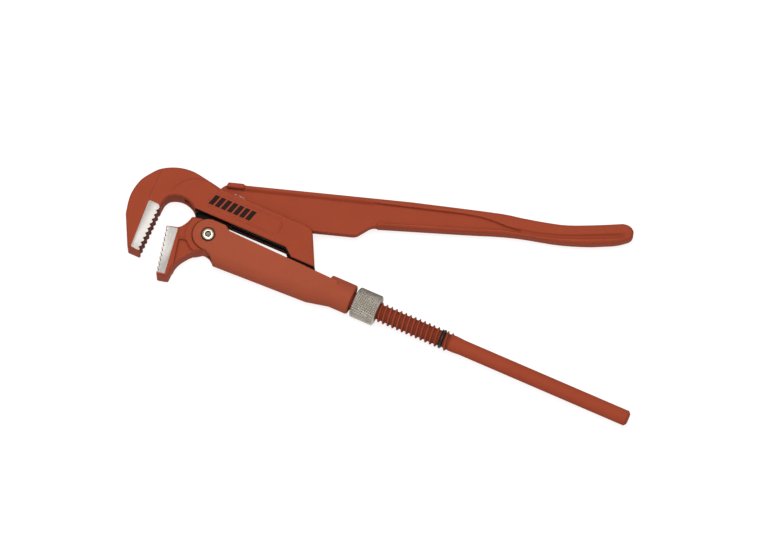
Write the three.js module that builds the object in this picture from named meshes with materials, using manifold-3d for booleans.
// A 90 degree Swedish-pattern pipe wrench of 1 inch nominal size, lying on its side.
// Millimetres, +Z up. X runs along the threaded leg towards its free end, Y from the leg
// towards the handle, and Z across the thickness of the forgings.
// Every piece is drawn about the lever's pivot, with the thread's axis through it, and the
// last lines move the whole wrench so that its origin is the bottom centre of its box.

import * as THREE from "three";
import { mergeVertices } from "three/addons/utils/BufferGeometryUtils.js";
import Module from "manifold-3d";

const wasm = await Module();
wasm.setup();

// ---- Driving dimensions -------------------------------------------------------------------

const CLEARANCE = 0.3; // between any two pieces that touch or slide on each other
const FORGED_EDGE = 0.9; // the forgings' broken edges

// Upper jaw and leg
const JAW_THICKNESS = 16; // both jaws and the shank, across Z
const SLOT_WIDTH = 7; // the slot in the shank that the lever's blade passes through
const HOOK_FACE_X = -32.7; // the plane of the upper jaw's tooth crests
const HOOK_TIP_Y = -25.6; // the hook's flat end
const HOOK_TIP_WIDTH = 7.5;
const HOOK_DEPTH_X = -51.8; // the furthest point of the hook's back
const HOOK_TOP_Y = 31.8;
const SHANK_TOP_Y = 28.8;
const SHANK_REAR_X = 65; // the foot of the shank's slanted rear edge
const SHANK_SHOULDER_X = 55.7; // the head of that edge
const CHEEK_GAP = 2.3; // between the sleeve's ears and the cheeks above them
const NECK_FRONT_X = 46.2;
const NECK_REAR_X = 66.7;
const LEG_END_X = 267.9;
const LEG_DIAMETER = 9.2; // the plain leg behind the thread
const THREAD_DIAMETER = 12;
const THREAD_END_X = 154;
const STOP_GROOVE_X = 149.8;
const STOP_WIRE = 1.9; // wire of the stop ring
const STOP_GROOVE_DEPTH = 2.4; // below the thread's crests

// Teeth, the same on both jaws
const TOOTH_PITCH = 3.05;
const TOOTH_DEPTH = 1.4;
const TOOTH_COUNT = 9;
const HOOK_TEETH_TOP_Y = 2.9;
const LEVER_TEETH_TOP_Y = -0.6;

// Sleeve
const SLEEVE_WALL = 2.7;
const EAR_RADIUS = 9.2;
const SLEEVE_TOP_Y = 7; // front end of the walls' top edge
const SLEEVE_TOP_REAR_Y = 5.2;
const CHANNEL_DEPTH_Y = -14.3; // bottom of the channel at its front end
const CHANNEL_FRONT_X = 9;
const CHANNEL_BEND_X = 67.5; // where the bottom starts to rise to the collar
const COLLAR_FRONT_X = 76;
const COLLAR_REAR_X = 92.3;

// Adjusting nut
const NUT_GAP = 1.5; // from the collar to the nut
const NUT_LENGTH = 15;
const NUT_DIAMETER = 18.5;
const NUT_CHAMFER = 1;

// Pivot
const PIVOT_DIAMETER = 6.4;
const PIVOT_HEAD_LIP = 0.6; // how far the screw's head stands out past its shank
const PIVOT_NUT_LIP = 0.8;
const PIVOT_RECESS_DEPTH = 1.4; // counterbore in each ear
const PIVOT_THREAD_STEP = 0.8; // from the shank down to the screw's threaded end
const PIVOT_SOCKET = 3.4; // hexagon socket, across flats

// Lower jaw and handle lever. Its own frame has Y along the tooth face, and it stands open.
const JAW_OPENING = THREE.MathUtils.degToRad(12.8); // turned from the jaws' parallel position
const HANDLE_TILT = THREE.MathUtils.degToRad(5.3); // of the handle, in the lever's own frame
const LEVER_FACE_X = -25.1;
const LEVER_TIP_Y = -29.2;
const LEVER_TIP_WIDTH = 6.8;
const BOSS_RADIUS = 9.9;
const LAND_RADIUS = 13; // the raised round land beside the ear
const WEB_DEPTH = 2.2; // the recess between the land and the jaw's tip
const BLADE_HEIGHT = 23.4;
const BLADE_LENGTH = 84.3;
const HANDLE_LENGTH = 247.2; // from the pivot to the grip's end
const HANDLE_THICKNESS = 11;
const RIB_HEIGHT = 3;
const STOP_BLOCK_THICKNESS = 15; // the block on the blade's back that meets the shank
const STOP_BLOCK_LENGTH = 10.6;
const STOP_BLOCK_X = 7.2; // its front end, along the handle
const GRIP_LENGTH = 81; // behind the widest part of the web's recess
const GRIP_EDGE = 1.4; // the flanges' and the grip's rounding
const GRIP_GROOVE_DEPTH = 0.8;

// ---- Sizes that follow from them ------------------------------------------------------------

const threadRadius = THREAD_DIAMETER / 2;
const channelHalf = threadRadius + CLEARANCE; // the sleeve's channel fits the neck and thread
const sleeveHalf = channelHalf + SLEEVE_WALL;
const coreHalf = channelHalf - CLEARANCE; // the neck, and the lever between the ears
const bladeHalf = SLOT_WIDTH / 2 - CLEARANCE;
const jawHalf = JAW_THICKNESS / 2;
const handleHalf = HANDLE_THICKNESS / 2;
const cheekY = EAR_RADIUS + CHEEK_GAP; // lower edge of the cheeks above the ears
const neckSeatY = SLEEVE_TOP_Y + CLEARANCE; // lower edge of the cheeks above the walls
const pivotRadius = PIVOT_DIAMETER / 2;
const pivotHeadRadius = pivotRadius + PIVOT_HEAD_LIP;
const pivotNutRadius = pivotRadius + PIVOT_NUT_LIP;
const pivotThreadRadius = pivotRadius - PIVOT_THREAD_STEP;
const pivotSeat = sleeveHalf - PIVOT_RECESS_DEPTH; // the counterbores' floors
const bladeTop = BOSS_RADIUS + BLADE_HEIGHT; // the blade's back, in the handle's frame
const ribBottom = bladeTop - RIB_HEIGHT;
const recessEnd = HANDLE_LENGTH - GRIP_LENGTH; // where the web's recess starts to narrow
const grooveRadius = threadRadius - STOP_GROOVE_DEPTH; // of the stop ring's groove
const PAST = 20; // how far a cutting tool reaches past what it cuts
const FAR = 500; // further than the wrench in every direction

// ---- Tools ------------------------------------------------------------------------------------

// A closed geometry as a solid that can be joined and cut.
function solid(geometry) {
  const bare = geometry.index ? geometry.toNonIndexed() : geometry.clone();
  bare.deleteAttribute("normal");
  bare.deleteAttribute("uv");
  const merged = mergeVertices(bare, 1e-4);
  return new wasm.Manifold(
    new wasm.Mesh({
      numProp: 3,
      vertProperties: merged.attributes.position.array,
      triVerts: new Uint32Array(merged.index.array),
    }),
  );
}

// A solid as a named mesh, with its finish.
function piece(name, body, { color, roughness, metalness }) {
  const { numProp, vertProperties, triVerts } = body.getMesh();
  const indexed = new THREE.BufferGeometry();
  indexed.setAttribute(
    "position",
    new THREE.BufferAttribute(vertProperties, numProp),
  );
  indexed.setIndex(new THREE.BufferAttribute(triVerts, 1));
  const faceted = indexed.toNonIndexed();
  faceted.computeVertexNormals();
  const finish = new THREE.MeshStandardMaterial({
    color,
    roughness,
    metalness,
  });
  const mesh = new THREE.Mesh(faceted, finish);
  mesh.name = name;
  return mesh;
}

// An outline in the XY plane made into a plate between -half and +half in Z.
function plate(shape, half, { edge = 0, turn = 0, curveSegments = 6 } = {}) {
  const geometry = new THREE.ExtrudeGeometry(shape, {
    depth: 2 * (half - edge),
    bevelEnabled: edge > 0,
    bevelThickness: edge,
    bevelSize: edge,
    bevelOffset: -edge,
    bevelSegments: 1,
    curveSegments,
  });
  geometry.translate(0, 0, edge - half);
  geometry.rotateZ(turn);
  return solid(geometry);
}

// The part of a tool that is further than `level` from the middle plane, on both sides.
function outside(tool, level) {
  return tool.subtract(box(-FAR, FAR, -FAR, FAR, -level, level));
}

function box(x0, x1, y0, y1, z0, z1) {
  const geometry = new THREE.BoxGeometry(x1 - x0, y1 - y0, z1 - z0);
  geometry.translate((x0 + x1) / 2, (y0 + y1) / 2, (z0 + z1) / 2);
  return solid(geometry);
}

// A profile of [x, radius] pairs turned about the X axis.
function turnedAboutX(profile, segments = 40) {
  const points = profile.map(([x, r]) => new THREE.Vector2(r, x));
  const geometry = new THREE.LatheGeometry(points, segments);
  geometry.rotateZ(-Math.PI / 2);
  return solid(geometry);
}

// A profile of [z, radius] pairs turned about the Z axis.
function turnedAboutZ(profile, segments = 32) {
  const points = profile.map(([z, r]) => new THREE.Vector2(r, z));
  const geometry = new THREE.LatheGeometry(points, segments);
  geometry.rotateX(Math.PI / 2);
  return solid(geometry);
}

function drum(radius, z0, z1, segments = 40) {
  return turnedAboutZ([[z0, 0], [z0, radius], [z1, radius], [z1, 0]], segments);
}

function polygon(points) {
  return new THREE.Shape(points.map(([x, y]) => new THREE.Vector2(x, y)));
}

function vectors(points) {
  return points.map(([x, y]) => new THREE.Vector2(x, y));
}

// The comb that mills the teeth: raked notches in a face at x, from topY downwards.
function toothComb(faceX, topY, side) {
  const points = [[faceX + side, topY + 1]];
  for (let tooth = 0; tooth < TOOTH_COUNT; tooth++) {
    const y = topY - tooth * TOOTH_PITCH;
    points.push([faceX, y]);
    points.push([faceX - side * TOOTH_DEPTH, y - 0.6 * TOOTH_PITCH]);
    points.push([faceX, y - 0.9 * TOOTH_PITCH]);
  }
  points.push([faceX + side, topY - TOOTH_COUNT * TOOTH_PITCH - 1]);
  return plate(polygon(points), jawHalf + 1);
}

// ---- Upper jaw and leg ------------------------------------------------------------------------

// The hook, the two cheeks of its slotted shank, the neck between them and the leg: one forging.
function upperJawAndLeg() {
  const outline = new THREE.Shape();
  outline.moveTo(HOOK_FACE_X - HOOK_TIP_WIDTH, HOOK_TIP_Y);
  outline.lineTo(-49.6, -7.5);
  outline.splineThru(
    vectors([
      [HOOK_DEPTH_X, 3.5],
      [-50.5, 13.8],
      [-46.4, 20.9],
      [-41.7, 26.1],
      [-33.5, HOOK_TOP_Y - 1.5],
      [-24.3, HOOK_TOP_Y],
      [-13.9, HOOK_TOP_Y - 1.4],
      [-5, SHANK_TOP_Y],
    ]),
  );
  outline.lineTo(SHANK_SHOULDER_X - 6, SHANK_TOP_Y);
  outline.quadraticCurveTo(
    SHANK_SHOULDER_X - 1.6,
    SHANK_TOP_Y,
    SHANK_SHOULDER_X,
    SHANK_TOP_Y - 3.5,
  );
  outline.lineTo(SHANK_REAR_X, neckSeatY);
  outline.lineTo(NECK_FRONT_X + 3.5, neckSeatY);
  outline.quadraticCurveTo(
    NECK_FRONT_X + 1.5,
    neckSeatY + 0.5,
    NECK_FRONT_X - 1.7,
    cheekY,
  );
  outline.lineTo(0, cheekY);
  outline.lineTo(-9.3, cheekY - 0.6);
  outline.lineTo(-13.4, cheekY - 0.8);
  outline.splineThru(
    vectors([
      [-16.2, 13.2],
      [-20.9, 14.9],
      [-25.5, 14.8],
      [-30.1, 12.8],
      [-32.3, 9.3],
      [HOOK_FACE_X, 4.2],
    ]),
  );
  outline.lineTo(HOOK_FACE_X, HOOK_TIP_Y);
  outline.closePath();

  const slot = polygon([
    [-22.6, -PAST],
    [-22.6, 11.5],
    [-17, HOOK_TOP_Y + PAST],
    [SHANK_REAR_X + PAST, HOOK_TOP_Y + PAST],
    [SHANK_REAR_X + PAST, -PAST],
  ]);
  const neck = polygon([
    [NECK_FRONT_X, -1.5],
    [NECK_FRONT_X, neckSeatY - 1.5],
    [NECK_FRONT_X + 1.5, neckSeatY + 0.7],
    [SHANK_REAR_X - 0.4, neckSeatY + 0.7],
    [NECK_REAR_X, SLEEVE_TOP_REAR_Y],
    [NECK_REAR_X, -1.5],
  ]);
  const legRadius = LEG_DIAMETER / 2;
  const grooveHalf = STOP_WIRE / 2 + CLEARANCE;
  const leg = turnedAboutX([
    [NECK_FRONT_X, 0],
    [NECK_FRONT_X, threadRadius - 1.5],
    [NECK_FRONT_X + 1.5, threadRadius],
    [STOP_GROOVE_X - grooveHalf, threadRadius],
    [STOP_GROOVE_X - grooveHalf, grooveRadius],
    [STOP_GROOVE_X + grooveHalf, grooveRadius],
    [STOP_GROOVE_X + grooveHalf, threadRadius],
    [THREAD_END_X, threadRadius],
    [THREAD_END_X + 2.5, legRadius + 0.6],
    [THREAD_END_X + 7, legRadius],
    [LEG_END_X - 2, legRadius],
    [LEG_END_X - 0.6, legRadius - 0.8],
    [LEG_END_X, legRadius - 2],
    [LEG_END_X, 0],
  ]);
  return plate(outline, jawHalf, { edge: FORGED_EDGE, curveSegments: 5 })
    .subtract(plate(slot, SLOT_WIDTH / 2))
    .add(plate(neck, coreHalf, { edge: FORGED_EDGE }))
    .add(leg)
    .subtract(toothComb(HOOK_FACE_X, HOOK_TEETH_TOP_Y, 1));
}

// ---- Lower jaw and handle ---------------------------------------------------------------------

// The outline of the blade and the handle's web, in a frame with X along the handle.
function bladeOutline() {
  const outline = new THREE.Shape();
  outline.moveTo(-9.2, 6);
  outline.lineTo(-9.9, 10.5);
  outline.lineTo(3.8, bladeTop - 3.6);
  outline.quadraticCurveTo(5.6, bladeTop, 11, bladeTop);
  outline.lineTo(BLADE_LENGTH + 33, bladeTop - 0.5);
  outline.lineTo(recessEnd + 14, bladeTop - 6);
  outline.lineTo(recessEnd + 14, 21);
  outline.lineTo(BLADE_LENGTH + 17, 16.9);
  outline.lineTo(BLADE_LENGTH + 12, 16.6);
  outline.quadraticCurveTo(BLADE_LENGTH + 9.4, 16.4, BLADE_LENGTH + 7.2, 14.4);
  outline.lineTo(BLADE_LENGTH + 3, 11.2);
  outline.quadraticCurveTo(BLADE_LENGTH + 1.4, BOSS_RADIUS, BLADE_LENGTH - 1, BOSS_RADIUS);
  outline.lineTo(17, BOSS_RADIUS);
  outline.quadraticCurveTo(BOSS_RADIUS + 0.5, BOSS_RADIUS, 9.6, 2);
  outline.lineTo(0, 0);
  outline.closePath();
  return outline;
}

// The thick parts of the handle: the rib on the blade's back, and the bar that it joins, from the
// blade's end to the grip's.
function handleOutline() {
  const end = HANDLE_LENGTH;
  const outline = new THREE.Shape();
  outline.moveTo(12, ribBottom);
  outline.lineTo(12, bladeTop);
  outline.lineTo(BLADE_LENGTH + 31, bladeTop);
  outline.splineThru(
    vectors([
      [recessEnd, bladeTop - 1.4],
      [end - 66, bladeTop - 2.9],
      [end - 52, bladeTop - 4.1],
      [end - 39, bladeTop - 4.5],
      [end - 22, bladeTop - 2.6],
      [end - 6.5, bladeTop - 0.2],
    ]),
  );
  outline.quadraticCurveTo(end - 1.5, bladeTop - 0.4, end, bladeTop - 4.2);
  outline.quadraticCurveTo(end + 0.4, bladeTop - 7.8, end - 2.2, 24);
  outline.splineThru(
    vectors([
      [end - 9, 21.4],
      [end - 17, 20],
      [end - 27, 18.7],
      [end - 44, 18.1],
      [end - 66, 19.5],
      [recessEnd, 19.4],
      [recessEnd - 15, 18.6],
      [BLADE_LENGTH + 17, 16.6],
    ]),
  );
  outline.lineTo(BLADE_LENGTH + 13, 16.4);
  outline.lineTo(BLADE_LENGTH + 13, ribBottom - 0.6);
  outline.closePath();
  return outline;
}

// The recess on each side of the web. It narrows to a groove that runs on along the grip.
function recessOutline() {
  const outline = new THREE.Shape();
  outline.moveTo(BLADE_LENGTH + 10, 18);
  outline.lineTo(BLADE_LENGTH + 14.5, 18.4);
  outline.lineTo(recessEnd - 19, 20.4);
  outline.lineTo(recessEnd + 4, 21.5);
  outline.lineTo(recessEnd + 15, 21.1);
  outline.lineTo(recessEnd + 16, 22.3);
  outline.splineThru(
    vectors([
      [recessEnd + 9, 23.6],
      [recessEnd, 26.2],
      [recessEnd - 9, 28.2],
      [recessEnd - 19, ribBottom - 1.2],
    ]),
  );
  outline.lineTo(BLADE_LENGTH + 10, ribBottom);
  outline.closePath();
  return outline;
}

// The groove along the grip, from the recess to the grip's end.
function gripGroove() {
  const end = HANDLE_LENGTH;
  return polygon([
    [end - 68, 21.4],
    [end - 56, 20.2],
    [end - 44, 20.1],
    [end - 31, 21],
    [end - 12, 23.6],
    [end - 4, 25.2],
    [end - 4.5, 26.4],
    [end - 12.5, 25.8],
    [end - 31.5, 23.2],
    [end - 44, 22.1],
    [end - 56, 22.1],
    [end - 68, 23.2],
  ]);
}

function lowerJawAndHandle() {
  const jaw = new THREE.Shape();
  jaw.moveTo(LEVER_FACE_X, LEVER_TIP_Y);
  jaw.lineTo(LEVER_FACE_X, 1);
  jaw.lineTo(-18.2, 1.4);
  jaw.quadraticCurveTo(-14.6, 3.6, -12.6, 7.2);
  jaw.lineTo(-11.3, 9.2);
  jaw.lineTo(-5, 9.2);
  jaw.lineTo(-2, -EAR_RADIUS - 0.5);
  jaw.splineThru(
    vectors([
      [-7, -EAR_RADIUS - 2.6],
      [-11.3, -EAR_RADIUS - 6],
      [-14.5, -EAR_RADIUS - 9.6],
      [-16.7, -23],
      [LEVER_FACE_X + LEVER_TIP_WIDTH, LEVER_TIP_Y],
    ]),
  );
  jaw.closePath();

  // Beside the ears the jaw is cut back to the thickness that fits the channel.
  const earPocket = outside(
    drum(EAR_RADIUS + CLEARANCE, -PAST, PAST),
    coreHalf,
  );
  const web = polygon([
    [-16.4, -5.5],
    [-16.4, -25.5],
    [0, -25.5],
    [0, -5.5],
  ]);
  const webPocket = outside(plate(web, PAST), jawHalf - WEB_DEPTH).subtract(
    drum(LAND_RADIUS, -PAST - 1, PAST + 1),
  );
  const heel = polygon([
    [-9, 6],
    [-9, -9],
    [-7, -11.8],
    [-2, -BOSS_RADIUS + 0.2],
    [1.3, -BOSS_RADIUS + 0.9],
    [3, 0],
  ]);
  const core = plate(heel, coreHalf).add(
    drum(BOSS_RADIUS, -coreHalf, coreHalf),
  );

  const blockRear = STOP_BLOCK_X + STOP_BLOCK_LENGTH;
  const block = polygon([
    [STOP_BLOCK_X, ribBottom + 1],
    [STOP_BLOCK_X + 1, bladeTop + 0.2],
    [blockRear, bladeTop + 0.2],
    [blockRear, ribBottom],
    [STOP_BLOCK_X + 1, ribBottom],
  ]);
  const turn = HANDLE_TILT;
  const bar = plate(handleOutline(), handleHalf, { edge: GRIP_EDGE, turn, curveSegments: 3 })
    .subtract(outside(plate(recessOutline(), PAST, { turn, curveSegments: 3 }), bladeHalf))
    .subtract(outside(plate(gripGroove(), PAST, { turn }), handleHalf - GRIP_GROOVE_DEPTH));
  const handle = plate(bladeOutline(), bladeHalf, { turn })
    .add(bar)
    .add(plate(block, STOP_BLOCK_THICKNESS / 2, { edge: FORGED_EDGE, turn }));
  return plate(jaw, jawHalf, { edge: FORGED_EDGE, curveSegments: 4 })
    .subtract(earPocket)
    .subtract(webPocket)
    .add(core)
    .add(handle)
    .subtract(drum(pivotRadius + CLEARANCE, -PAST, PAST, 32))
    .subtract(toothComb(LEVER_FACE_X, LEVER_TEETH_TOP_Y, -1));
}

// ---- Sleeve -----------------------------------------------------------------------------------

// The U-shaped bar of the channel, or its hollow: flat sides, a half-round bottom, and a centre
// line that rises towards the rear.
function channelBar(half, x0, x1, centre0, centre1) {
  const section = new THREE.Shape();
  section.moveTo(-half, PAST);
  section.lineTo(-half, 0);
  section.absarc(0, 0, half, Math.PI, 2 * Math.PI, false);
  section.lineTo(half, PAST);
  section.closePath();
  const geometry = new THREE.ExtrudeGeometry(section, {
    depth: x1 - x0,
    bevelEnabled: false,
    curveSegments: 8,
  });
  // The section's X becomes Z, and its depth becomes X.
  geometry.rotateY(Math.PI / 2);
  geometry.translate(x0, 0, 0);
  const rise = (centre1 - centre0) / (x1 - x0);
  const shear = new THREE.Matrix4().makeShear(rise, 0, 0, 0, 0, 0);
  geometry.applyMatrix4(shear);
  geometry.translate(0, centre0 - rise * x0, 0);
  return solid(geometry);
}

function sleeve() {
  const frontCentre = CHANNEL_DEPTH_Y + sleeveHalf;
  const bendCentre = frontCentre + 2.3;
  const rear = COLLAR_FRONT_X + 5;
  const front = -PAST;
  const slope = (bendCentre - frontCentre) / (CHANNEL_BEND_X - CHANNEL_FRONT_X);
  const endCentre = frontCentre - slope * (CHANNEL_FRONT_X - front);
  const bar = (half) =>
    channelBar(half, front, CHANNEL_BEND_X, endCentre, bendCentre).add(
      channelBar(half, CHANNEL_BEND_X, rear, bendCentre, 0),
    );

  const side = new THREE.Shape();
  side.absarc(0, 0, EAR_RADIUS, -0.44 * Math.PI, -1.5 * Math.PI, true);
  side.lineTo(7.3, EAR_RADIUS);
  side.lineTo(10.6, SLEEVE_TOP_Y);
  side.lineTo(COLLAR_FRONT_X, SLEEVE_TOP_REAR_Y);
  side.lineTo(rear, SLEEVE_TOP_REAR_Y);
  side.lineTo(rear, CHANNEL_DEPTH_Y - 5);
  side.lineTo(CHANNEL_FRONT_X + 0.2, CHANNEL_DEPTH_Y - 5);
  side.lineTo(CHANNEL_FRONT_X, CHANNEL_DEPTH_Y);
  side.quadraticCurveTo(7.3, -11.4, 4.4, -EAR_RADIUS - 0.5);
  side.closePath();

  const collar = turnedAboutX([
    [COLLAR_FRONT_X, 0],
    [COLLAR_FRONT_X, sleeveHalf - 0.5],
    [COLLAR_FRONT_X + 0.5, sleeveHalf],
    [COLLAR_REAR_X - 0.8, sleeveHalf],
    [COLLAR_REAR_X, sleeveHalf - 0.8],
    [COLLAR_REAR_X, 0],
  ]);
  const hollow = bar(channelHalf).subtract(
    box(COLLAR_FRONT_X, rear + 1, -PAST, PAST + PAST, -PAST, PAST),
  );
  const threadBore = turnedAboutX([
    [COLLAR_FRONT_X - 1, 0],
    [COLLAR_FRONT_X - 1, channelHalf],
    [COLLAR_REAR_X + 1, channelHalf],
    [COLLAR_REAR_X + 1, 0],
  ]);
  const recess = outside(
    drum(pivotNutRadius + CLEARANCE, -PAST, PAST, 32),
    pivotSeat,
  );
  // Between the ears the channel's sides are flat all the way down, for the lever's boss.
  const bossRoom = drum(
    Math.max(BOSS_RADIUS, EAR_RADIUS) + CLEARANCE,
    -channelHalf,
    channelHalf,
  );
  return plate(side, sleeveHalf + 1, { curveSegments: 12 })
    .intersect(bar(sleeveHalf))
    .subtract(hollow)
    .add(collar)
    .subtract(threadBore)
    .subtract(bossRoom)
    .subtract(drum(pivotRadius + CLEARANCE, -PAST, PAST, 32))
    .subtract(recess);
}

// ---- Pivot, nut and ring ----------------------------------------------------------------------

// A shouldered screw from the front ear to the nut in the rear one, with a domed head.
function pivotScrew() {
  const shoulder = pivotSeat + CLEARANCE;
  const body = turnedAboutZ([
    [-sleeveHalf, 0],
    [-sleeveHalf, pivotThreadRadius],
    [-pivotSeat + CLEARANCE, pivotThreadRadius],
    [-pivotSeat + CLEARANCE, pivotRadius],
    [shoulder, pivotRadius],
    [shoulder, pivotHeadRadius],
    [sleeveHalf - 0.4, pivotHeadRadius],
    [sleeveHalf + 0.1, pivotHeadRadius - 0.5],
    [sleeveHalf + 0.5, pivotHeadRadius - 1.5],
    [sleeveHalf + 0.6, 0],
  ]);
  const across = PIVOT_SOCKET / Math.sqrt(3);
  const socket = new THREE.CylinderGeometry(across, across, 4, 6);
  socket.rotateX(Math.PI / 2);
  socket.translate(0, 0, sleeveHalf + 0.5);
  return body.subtract(solid(socket));
}

// The round nut on the screw's rear end, flush with the ear, with a screwdriver slot.
function pivotNut() {
  const bore = pivotThreadRadius + CLEARANCE;
  const inner = -pivotSeat - CLEARANCE;
  const outer = -sleeveHalf - 0.2;
  const driver = box(
    -pivotNutRadius - 1,
    pivotNutRadius + 1,
    -0.5,
    0.5,
    outer - 1,
    outer + 0.6,
  );
  return turnedAboutZ([
    [outer, bore],
    [outer, pivotNutRadius - 0.3],
    [outer + 0.3, pivotNutRadius],
    [inner, pivotNutRadius],
    [inner, bore],
    [outer, bore],
  ]).subtract(driver);
}

function adjustingNut() {
  const front = COLLAR_REAR_X + NUT_GAP;
  const rear = front + NUT_LENGTH;
  const radius = NUT_DIAMETER / 2;
  const bore = threadRadius + CLEARANCE;
  return turnedAboutX([
    [front, bore + 0.6],
    [front, radius - NUT_CHAMFER],
    [front + NUT_CHAMFER, radius],
    [rear - NUT_CHAMFER, radius],
    [rear, radius - NUT_CHAMFER],
    [rear, bore + 0.6],
    [rear - 0.6, bore],
    [front + 0.6, bore],
    [front, bore + 0.6],
  ], 48);
}

// The open wire ring in the leg's groove, which keeps the nut on the thread.
class RingPath extends THREE.Curve {
  getPoint(t, target = new THREE.Vector3()) {
    const radius = grooveRadius + CLEARANCE + STOP_WIRE / 2;
    const angle = 0.1 + t * (2 * Math.PI - 0.5);
    return target.set(
      STOP_GROOVE_X,
      radius * Math.cos(angle),
      radius * Math.sin(angle),
    );
  }
}

function stopRing() {
  const wire = new THREE.Shape();
  wire.absarc(0, 0, STOP_WIRE / 2, 0, 2 * Math.PI, false);
  const geometry = new THREE.ExtrudeGeometry(wire, {
    extrudePath: new RingPath(),
    steps: 28,
    curveSegments: 4,
  });
  return solid(geometry);
}

// ---- The wrench -------------------------------------------------------------------------------

const paint = { color: 0x9f4834, roughness: 0.45, metalness: 0 };
const steel = { color: 0xa19a8f, roughness: 0.35, metalness: 1 };
const brightSteel = { color: 0xd8d2c0, roughness: 0.2, metalness: 1 };
const blackSteel = { color: 0x1c1b1a, roughness: 0.5, metalness: 0.6 };

const lever = piece("lower_jaw_and_handle", lowerJawAndHandle(), paint);
lever.rotation.z = JAW_OPENING;

const wrench = new THREE.Group();
wrench.add(
  piece("upper_jaw_and_leg", upperJawAndLeg(), paint),
  piece("stop_ring", stopRing(), blackSteel),
  piece("sleeve", sleeve(), paint),
  piece("pivot_screw", pivotScrew(), brightSteel),
  piece("pivot_nut", pivotNut(), steel),
  piece("adjusting_nut", adjustingNut(), steel),
  lever,
);

const extent = new THREE.Box3().setFromObject(wrench, true);
const centre = extent.getCenter(new THREE.Vector3());
wrench.position.set(-centre.x, -centre.y, -extent.min.z);

const part = new THREE.Group();
part.add(wrench);

export default part;
